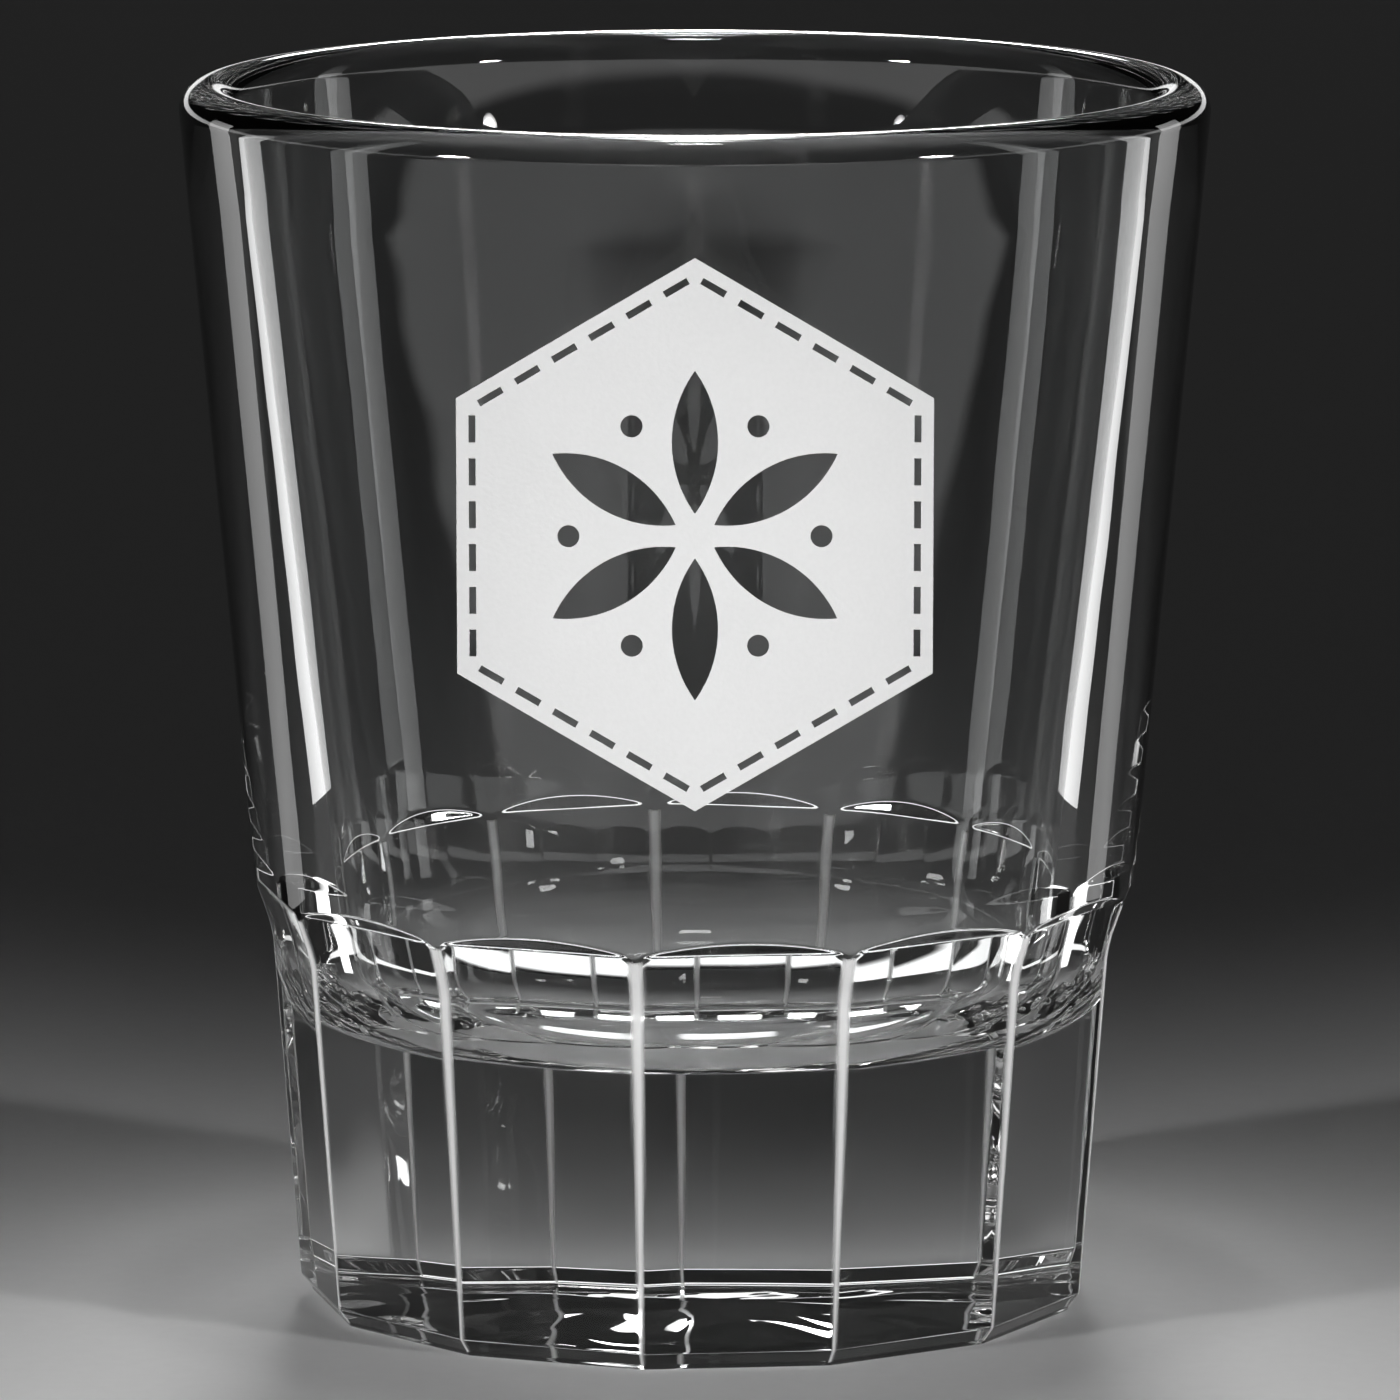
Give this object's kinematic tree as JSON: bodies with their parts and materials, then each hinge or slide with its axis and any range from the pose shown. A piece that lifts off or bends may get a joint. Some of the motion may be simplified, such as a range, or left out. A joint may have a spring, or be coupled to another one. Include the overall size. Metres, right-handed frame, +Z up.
{
  "type": "shot glass",
  "caption": "Clear pressed shot glass with a tapered wall, thick full-round rim, heavy faceted base and a frosted hexagonal panel on the front.",
  "frame": {"origin": "on the glass's axis, in the plane of the foot's bearing ring", "axes": "+Z up along the glass's axis, from foot to rim; the frosted panel faces -Y"},
  "size_m": [0.053, 0.053, 0.0635],
  "materials": {
    "clear_glass": "fire-polished clear soda-lime glass",
    "frosted_white": "frosted white, opaque matt"
  },
  "bodies": {
    "root": {"glass_body": "clear_glass", "frosted_panel": "frosted_white"}
  },
  "joints": []
}
